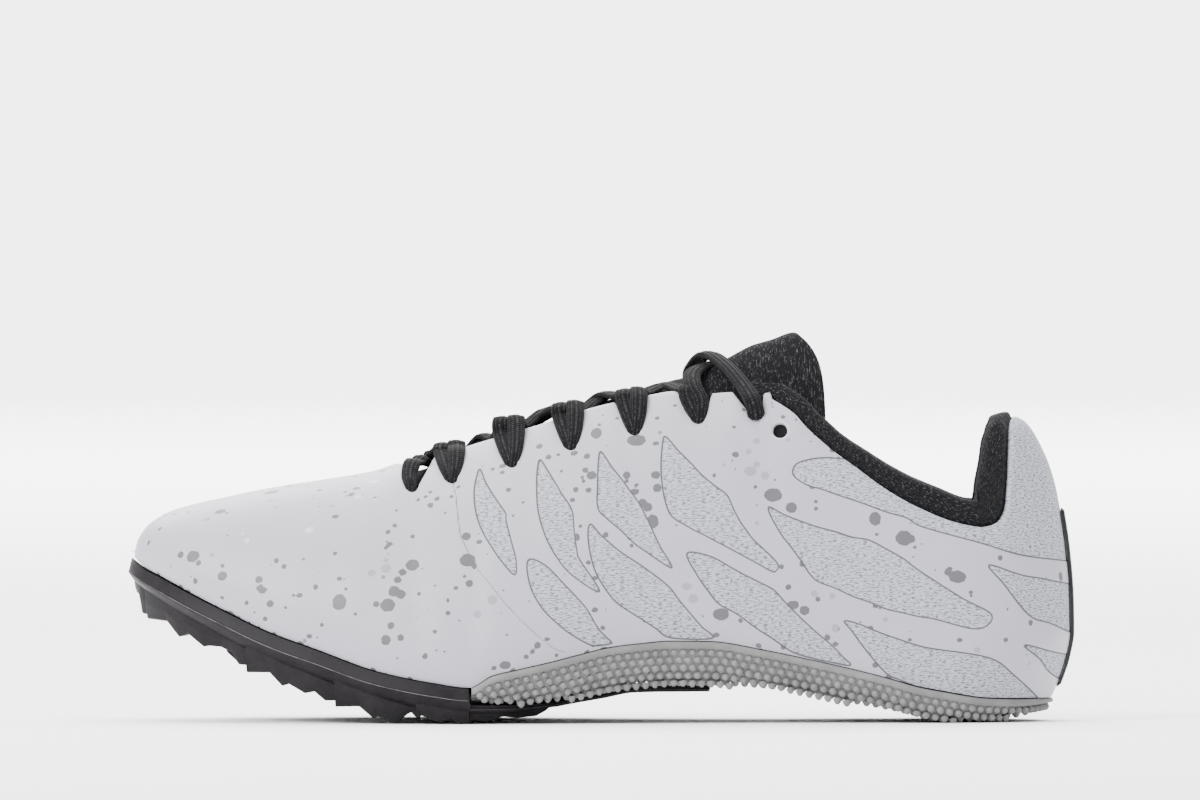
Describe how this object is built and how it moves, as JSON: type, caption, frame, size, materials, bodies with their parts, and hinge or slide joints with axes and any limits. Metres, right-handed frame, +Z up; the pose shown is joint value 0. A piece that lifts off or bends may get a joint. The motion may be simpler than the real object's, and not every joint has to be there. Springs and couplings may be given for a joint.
{
  "type": "track spike shoe",
  "caption": "Low-cut sprint shoe: film-covered textile upper with collar, padded tongue and crossed lace, lugged plate under the forefoot, nubbed outsole at heel and midfoot",
  "frame": {"origin": "centre of the bounding box in plan, at the floor that the shoe stands on", "axes": "+X towards the heel, -X towards the toe, -Y the outer side of the left foot, +Y the inner side, +Z up"},
  "size_m": [0.284, 0.0986, 0.1187],
  "materials": {
    "film_textile": "satin film over textile",
    "collar_knit": "knit",
    "tongue_knit": "knit",
    "insole_cloth": "cloth",
    "plate_polymer": "satin moulded",
    "outsole_rubber": "matt nubbed",
    "strip_polymer": "matt",
    "lace_cord": "ribbed"
  },
  "bodies": {
    "root": {"upper": "film_textile", "collar_lining": "collar_knit", "tongue": "tongue_knit", "insole": "insole_cloth", "forefoot_plate": "plate_polymer", "heel_outsole": "outsole_rubber", "heel_strip": "strip_polymer", "lace_crossing_1": "lace_cord", "lace_crossing_2": "lace_cord", "lace_crossing_3": "lace_cord", "lace_crossing_4": "lace_cord", "lace_crossing_5": "lace_cord", "lace_crossing_6": "lace_cord"}
  },
  "joints": []
}
